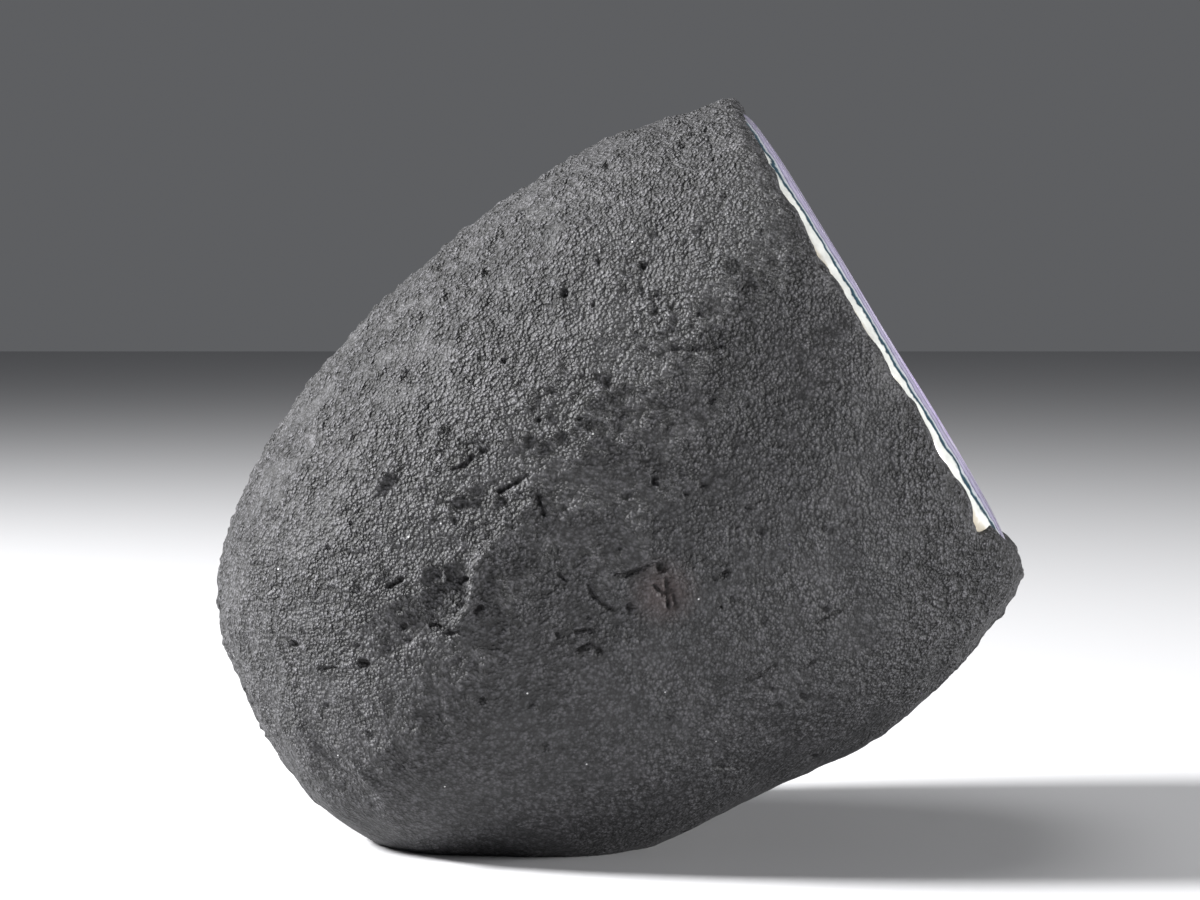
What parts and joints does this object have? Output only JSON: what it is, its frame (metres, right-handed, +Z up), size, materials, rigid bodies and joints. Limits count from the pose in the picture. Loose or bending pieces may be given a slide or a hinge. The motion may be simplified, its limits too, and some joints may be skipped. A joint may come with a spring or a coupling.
{
  "type": "amethyst geode",
  "caption": "Egg-shaped amethyst geode cut across its end: dark sanded coat over the back and base, a polished banded rim, and a hollow lined with crystals.",
  "frame": {"origin": "middle of the small flat under the body that the geode stands on", "axes": "+Z up, +X towards the side that the cut looks to, -Y towards the viewer of the picture"},
  "size_m": [0.1185, 0.086, 0.1101],
  "materials": {
    "coating": "matt, sanded, dark grey",
    "agate": "polished on the cut, banded white, green and lilac",
    "amethyst": "clear violet crystal, paler at the roots"
  },
  "bodies": {
    "root": {"back_coating": "coating", "agate_rind": "agate", "amethyst_crystals": "amethyst"}
  },
  "joints": []
}
